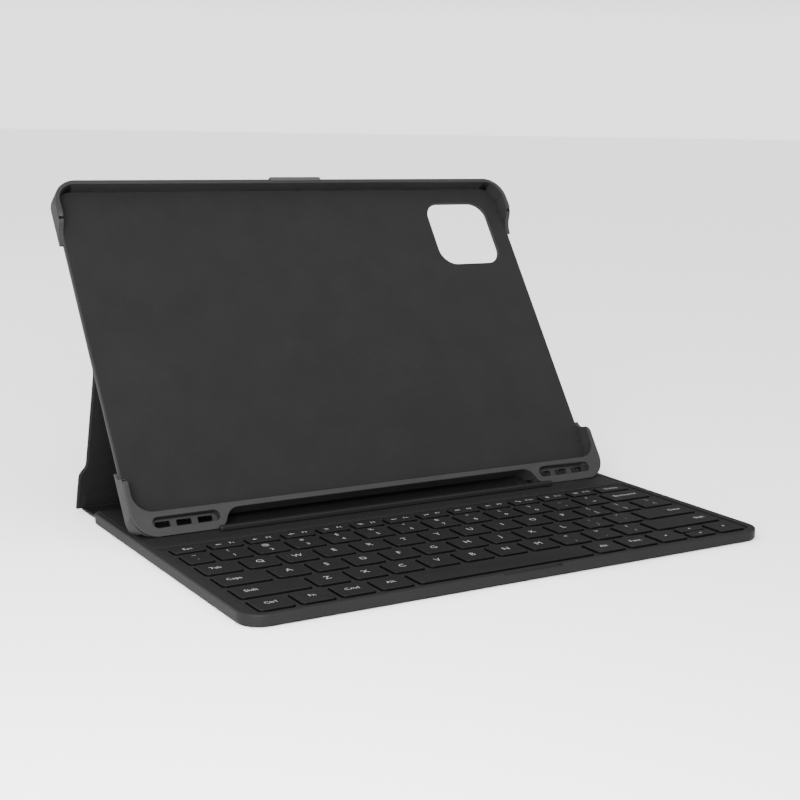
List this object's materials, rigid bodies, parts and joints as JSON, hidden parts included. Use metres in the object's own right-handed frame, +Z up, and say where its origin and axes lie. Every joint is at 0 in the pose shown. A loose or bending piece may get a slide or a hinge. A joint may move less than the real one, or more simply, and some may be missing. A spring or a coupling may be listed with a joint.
{
  "type": "tablet keyboard case",
  "caption": "Folding case with a slim keyboard base, a soft hinge, a stand panel and a leaning open tray for a tablet.",
  "frame": {"origin": "centre of the whole case's footprint in its typing position, on the surface it stands on", "axes": "+X to the user's right along the keyboard, +Y from the user towards the stand, +Z up"},
  "size_m": [0.2875, 0.2484, 0.172],
  "materials": {
    "case_plastic": "fine moulded texture",
    "cover_plastic": "fine moulded texture",
    "rubber": "matte",
    "screw_steel": "plain",
    "plate_steel": "plain",
    "silicone": "satin",
    "scissor_plastic": "satin",
    "cell_foil": "satin",
    "circuit_board": "solder mask",
    "port_metal": "satin",
    "switch_plastic": "satin",
    "magnet": "nickel plated",
    "bar_plastic": "satin",
    "soft_leather": "fine grained synthetic leather",
    "stiffener": "fibre board",
    "tray_plastic": "soft-touch with a fine texture",
    "lining_fabric": "short-nap microfibre",
    "tab_plastic": "satin",
    "key_plastic": "lightly textured"
  },
  "bodies": {
    "keyboard": {"top_case": "case_plastic", "bottom_cover": "cover_plastic", "rubber_feet": "rubber", "case_screws": "screw_steel", "support_plate": "plate_steel", "dome_sheet": "silicone", "scissor_frames": "scissor_plastic", "battery": "cell_foil", "controller_board": "circuit_board", "charge_port": "port_metal", "base_magnets": "magnet", "stop_bar": "bar_plastic", "hinge_strip": "soft_leather"},
    "stand": {"stand_board": "stiffener", "stand_outer_skin": "soft_leather", "stand_inner_skin": "soft_leather"},
    "tray": {"anchor_panel": "soft_leather", "tray_back": "tray_plastic", "foot_frame": "tray_plastic", "top_frame": "tray_plastic", "tray_lining": "lining_fabric", "latch_tab": "tab_plastic", "tray_magnets": "magnet"},
    "power_switch": {"power_switch": "switch_plastic"},
    "key_q": {"key_q": "key_plastic"},
    "key_w": {"key_w": "key_plastic"},
    "key_e": {"key_e": "key_plastic"},
    "key_r": {"key_r": "key_plastic"},
    "key_t": {"key_t": "key_plastic"},
    "key_y": {"key_y": "key_plastic"},
    "key_u": {"key_u": "key_plastic"},
    "key_i": {"key_i": "key_plastic"},
    "key_o": {"key_o": "key_plastic"},
    "key_p": {"key_p": "key_plastic"},
    "key_a": {"key_a": "key_plastic"},
    "key_s": {"key_s": "key_plastic"},
    "key_d": {"key_d": "key_plastic"},
    "key_f": {"key_f": "key_plastic"},
    "key_g": {"key_g": "key_plastic"},
    "key_h": {"key_h": "key_plastic"},
    "key_j": {"key_j": "key_plastic"},
    "key_k": {"key_k": "key_plastic"},
    "key_l": {"key_l": "key_plastic"},
    "key_z": {"key_z": "key_plastic"},
    "key_x": {"key_x": "key_plastic"},
    "key_c": {"key_c": "key_plastic"},
    "key_v": {"key_v": "key_plastic"},
    "key_b": {"key_b": "key_plastic"},
    "key_n": {"key_n": "key_plastic"},
    "key_m": {"key_m": "key_plastic"},
    "key_space": {"key_space": "key_plastic"},
    "key_enter": {"key_enter": "key_plastic"},
    "key_backspace": {"key_backspace": "key_plastic"},
    "key_tab": {"key_tab": "key_plastic"},
    "key_caps": {"key_caps": "key_plastic"},
    "key_shift_left": {"key_shift_left": "key_plastic"},
    "key_shift_right": {"key_shift_right": "key_plastic"},
    "number_and_symbol_keys": {"number_and_symbol_keys": "key_plastic"},
    "function_keys": {"function_keys": "key_plastic"},
    "modifier_and_arrow_keys": {"modifier_and_arrow_keys": "key_plastic"}
  },
  "joints": [
    {"name": "back_stand_fold", "type": "hinge", "parent": "keyboard", "child": "stand", "pos_m": [0, 0.08477, 0.0014], "axis": [1, 0, 0], "range_deg": [-105.87, 0]},
    {"name": "back_tray_pivot", "type": "hinge", "parent": "stand", "child": "tray", "pos_m": [0, 0.06352, 0.07614], "axis": [1, 0, 0], "range_deg": [0, 51.13]},
    {"name": "power_slide", "type": "slide", "parent": "keyboard", "child": "power_switch", "axis": [0, 1, 0], "range_m": [0, 0.003]},
    {"name": "key_q_press", "type": "slide", "parent": "keyboard", "child": "key_q", "axis": [0, 0, -1], "range_m": [0, 0.0011], "stiffness_N_per_m": 400, "springref_m": -0.0004},
    {"name": "key_w_press", "type": "slide", "parent": "keyboard", "child": "key_w", "axis": [0, 0, -1], "range_m": [0, 0.0011], "stiffness_N_per_m": 400, "springref_m": -0.0004},
    {"name": "key_e_press", "type": "slide", "parent": "keyboard", "child": "key_e", "axis": [0, 0, -1], "range_m": [0, 0.0011], "stiffness_N_per_m": 400, "springref_m": -0.0004},
    {"name": "key_r_press", "type": "slide", "parent": "keyboard", "child": "key_r", "axis": [0, 0, -1], "range_m": [0, 0.0011], "stiffness_N_per_m": 400, "springref_m": -0.0004},
    {"name": "key_t_press", "type": "slide", "parent": "keyboard", "child": "key_t", "axis": [0, 0, -1], "range_m": [0, 0.0011], "stiffness_N_per_m": 400, "springref_m": -0.0004},
    {"name": "key_y_press", "type": "slide", "parent": "keyboard", "child": "key_y", "axis": [0, 0, -1], "range_m": [0, 0.0011], "stiffness_N_per_m": 400, "springref_m": -0.0004},
    {"name": "key_u_press", "type": "slide", "parent": "keyboard", "child": "key_u", "axis": [0, 0, -1], "range_m": [0, 0.0011], "stiffness_N_per_m": 400, "springref_m": -0.0004},
    {"name": "key_i_press", "type": "slide", "parent": "keyboard", "child": "key_i", "axis": [0, 0, -1], "range_m": [0, 0.0011], "stiffness_N_per_m": 400, "springref_m": -0.0004},
    {"name": "key_o_press", "type": "slide", "parent": "keyboard", "child": "key_o", "axis": [0, 0, -1], "range_m": [0, 0.0011], "stiffness_N_per_m": 400, "springref_m": -0.0004},
    {"name": "key_p_press", "type": "slide", "parent": "keyboard", "child": "key_p", "axis": [0, 0, -1], "range_m": [0, 0.0011], "stiffness_N_per_m": 400, "springref_m": -0.0004},
    {"name": "key_a_press", "type": "slide", "parent": "keyboard", "child": "key_a", "axis": [0, 0, -1], "range_m": [0, 0.0011], "stiffness_N_per_m": 400, "springref_m": -0.0004},
    {"name": "key_s_press", "type": "slide", "parent": "keyboard", "child": "key_s", "axis": [0, 0, -1], "range_m": [0, 0.0011], "stiffness_N_per_m": 400, "springref_m": -0.0004},
    {"name": "key_d_press", "type": "slide", "parent": "keyboard", "child": "key_d", "axis": [0, 0, -1], "range_m": [0, 0.0011], "stiffness_N_per_m": 400, "springref_m": -0.0004},
    {"name": "key_f_press", "type": "slide", "parent": "keyboard", "child": "key_f", "axis": [0, 0, -1], "range_m": [0, 0.0011], "stiffness_N_per_m": 400, "springref_m": -0.0004},
    {"name": "key_g_press", "type": "slide", "parent": "keyboard", "child": "key_g", "axis": [0, 0, -1], "range_m": [0, 0.0011], "stiffness_N_per_m": 400, "springref_m": -0.0004},
    {"name": "key_h_press", "type": "slide", "parent": "keyboard", "child": "key_h", "axis": [0, 0, -1], "range_m": [0, 0.0011], "stiffness_N_per_m": 400, "springref_m": -0.0004},
    {"name": "key_j_press", "type": "slide", "parent": "keyboard", "child": "key_j", "axis": [0, 0, -1], "range_m": [0, 0.0011], "stiffness_N_per_m": 400, "springref_m": -0.0004},
    {"name": "key_k_press", "type": "slide", "parent": "keyboard", "child": "key_k", "axis": [0, 0, -1], "range_m": [0, 0.0011], "stiffness_N_per_m": 400, "springref_m": -0.0004},
    {"name": "key_l_press", "type": "slide", "parent": "keyboard", "child": "key_l", "axis": [0, 0, -1], "range_m": [0, 0.0011], "stiffness_N_per_m": 400, "springref_m": -0.0004},
    {"name": "key_z_press", "type": "slide", "parent": "keyboard", "child": "key_z", "axis": [0, 0, -1], "range_m": [0, 0.0011], "stiffness_N_per_m": 400, "springref_m": -0.0004},
    {"name": "key_x_press", "type": "slide", "parent": "keyboard", "child": "key_x", "axis": [0, 0, -1], "range_m": [0, 0.0011], "stiffness_N_per_m": 400, "springref_m": -0.0004},
    {"name": "key_c_press", "type": "slide", "parent": "keyboard", "child": "key_c", "axis": [0, 0, -1], "range_m": [0, 0.0011], "stiffness_N_per_m": 400, "springref_m": -0.0004},
    {"name": "key_v_press", "type": "slide", "parent": "keyboard", "child": "key_v", "axis": [0, 0, -1], "range_m": [0, 0.0011], "stiffness_N_per_m": 400, "springref_m": -0.0004},
    {"name": "key_b_press", "type": "slide", "parent": "keyboard", "child": "key_b", "axis": [0, 0, -1], "range_m": [0, 0.0011], "stiffness_N_per_m": 400, "springref_m": -0.0004},
    {"name": "key_n_press", "type": "slide", "parent": "keyboard", "child": "key_n", "axis": [0, 0, -1], "range_m": [0, 0.0011], "stiffness_N_per_m": 400, "springref_m": -0.0004},
    {"name": "key_m_press", "type": "slide", "parent": "keyboard", "child": "key_m", "axis": [0, 0, -1], "range_m": [0, 0.0011], "stiffness_N_per_m": 400, "springref_m": -0.0004},
    {"name": "key_space_press", "type": "slide", "parent": "keyboard", "child": "key_space", "axis": [0, 0, -1], "range_m": [0, 0.0011], "stiffness_N_per_m": 400, "springref_m": -0.0004},
    {"name": "key_enter_press", "type": "slide", "parent": "keyboard", "child": "key_enter", "axis": [0, 0, -1], "range_m": [0, 0.0011], "stiffness_N_per_m": 400, "springref_m": -0.0004},
    {"name": "key_backspace_press", "type": "slide", "parent": "keyboard", "child": "key_backspace", "axis": [0, 0, -1], "range_m": [0, 0.0011], "stiffness_N_per_m": 400, "springref_m": -0.0004},
    {"name": "key_tab_press", "type": "slide", "parent": "keyboard", "child": "key_tab", "axis": [0, 0, -1], "range_m": [0, 0.0011], "stiffness_N_per_m": 400, "springref_m": -0.0004},
    {"name": "key_caps_press", "type": "slide", "parent": "keyboard", "child": "key_caps", "axis": [0, 0, -1], "range_m": [0, 0.0011], "stiffness_N_per_m": 400, "springref_m": -0.0004},
    {"name": "key_shift_left_press", "type": "slide", "parent": "keyboard", "child": "key_shift_left", "axis": [0, 0, -1], "range_m": [0, 0.0011], "stiffness_N_per_m": 400, "springref_m": -0.0004},
    {"name": "key_shift_right_press", "type": "slide", "parent": "keyboard", "child": "key_shift_right", "axis": [0, 0, -1], "range_m": [0, 0.0011], "stiffness_N_per_m": 400, "springref_m": -0.0004},
    {"name": "number_and_symbol_keys_press", "type": "slide", "parent": "keyboard", "child": "number_and_symbol_keys", "axis": [0, 0, -1], "range_m": [0, 0.0011], "stiffness_N_per_m": 4000, "springref_m": -0.0004},
    {"name": "function_keys_press", "type": "slide", "parent": "keyboard", "child": "function_keys", "axis": [0, 0, -1], "range_m": [0, 0.0011], "stiffness_N_per_m": 2500, "springref_m": -0.0004},
    {"name": "modifier_and_arrow_keys_press", "type": "slide", "parent": "keyboard", "child": "modifier_and_arrow_keys", "axis": [0, 0, -1], "range_m": [0, 0.0011], "stiffness_N_per_m": 2500, "springref_m": -0.0004}
  ],
  "couplings": [
    {"joint": "back_tray_pivot", "follows": "back_stand_fold", "ratio": -0.48286}
  ]
}
